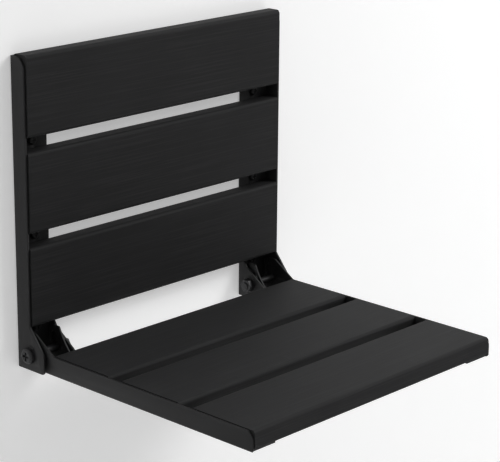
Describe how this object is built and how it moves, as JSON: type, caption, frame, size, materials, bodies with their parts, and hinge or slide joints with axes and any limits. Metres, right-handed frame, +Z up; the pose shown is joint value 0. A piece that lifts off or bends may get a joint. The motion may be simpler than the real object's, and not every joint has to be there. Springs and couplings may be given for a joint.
{
  "type": "fold-up shower seat",
  "caption": "Wall-mounted fold-up shower seat in matt black: slatted seat on steel arms hinged to wall brackets, with a slatted back rest.",
  "frame": {"origin": "on the wall plane, midway between the two wall brackets, at the height of their middle wall screws", "axes": "+X along the wall to the right as seen by a person facing the wall, +Y into the wall so the seat reaches out along -Y, +Z up"},
  "size_m": [0.462, 0.4455, 0.4004],
  "materials": {
    "frame": "matt",
    "slats": "matt",
    "fixings": "satin",
    "bush": "matt"
  },
  "bodies": {
    "wall_frame": {"left_wall_bracket": "frame", "right_wall_bracket": "frame", "back_slat_top": "slats", "back_slat_middle": "slats", "back_slat_bottom": "slats", "back_slat_screws_left": "fixings", "back_slat_screws_right": "fixings", "wall_screws_left": "fixings", "wall_screws_right": "fixings", "left_stop_bolt": "fixings", "right_stop_bolt": "fixings", "left_stop_nut": "fixings", "right_stop_nut": "fixings", "left_pivot_pins": "frame", "right_pivot_pins": "frame"},
    "seat": {"left_seat_arm": "frame", "right_seat_arm": "frame", "seat_slat_rear": "slats", "seat_slat_middle": "slats", "seat_slat_front": "slats", "seat_slat_screws_left": "fixings", "seat_slat_screws_right": "fixings", "left_pivot_bushes": "bush", "right_pivot_bushes": "bush"}
  },
  "joints": [
    {"name": "seat_fold", "type": "hinge", "parent": "wall_frame", "child": "seat", "pos_m": [0, -0.028, -0.138], "axis": [-1, 0, 0], "range_deg": [0, 90]}
  ]
}
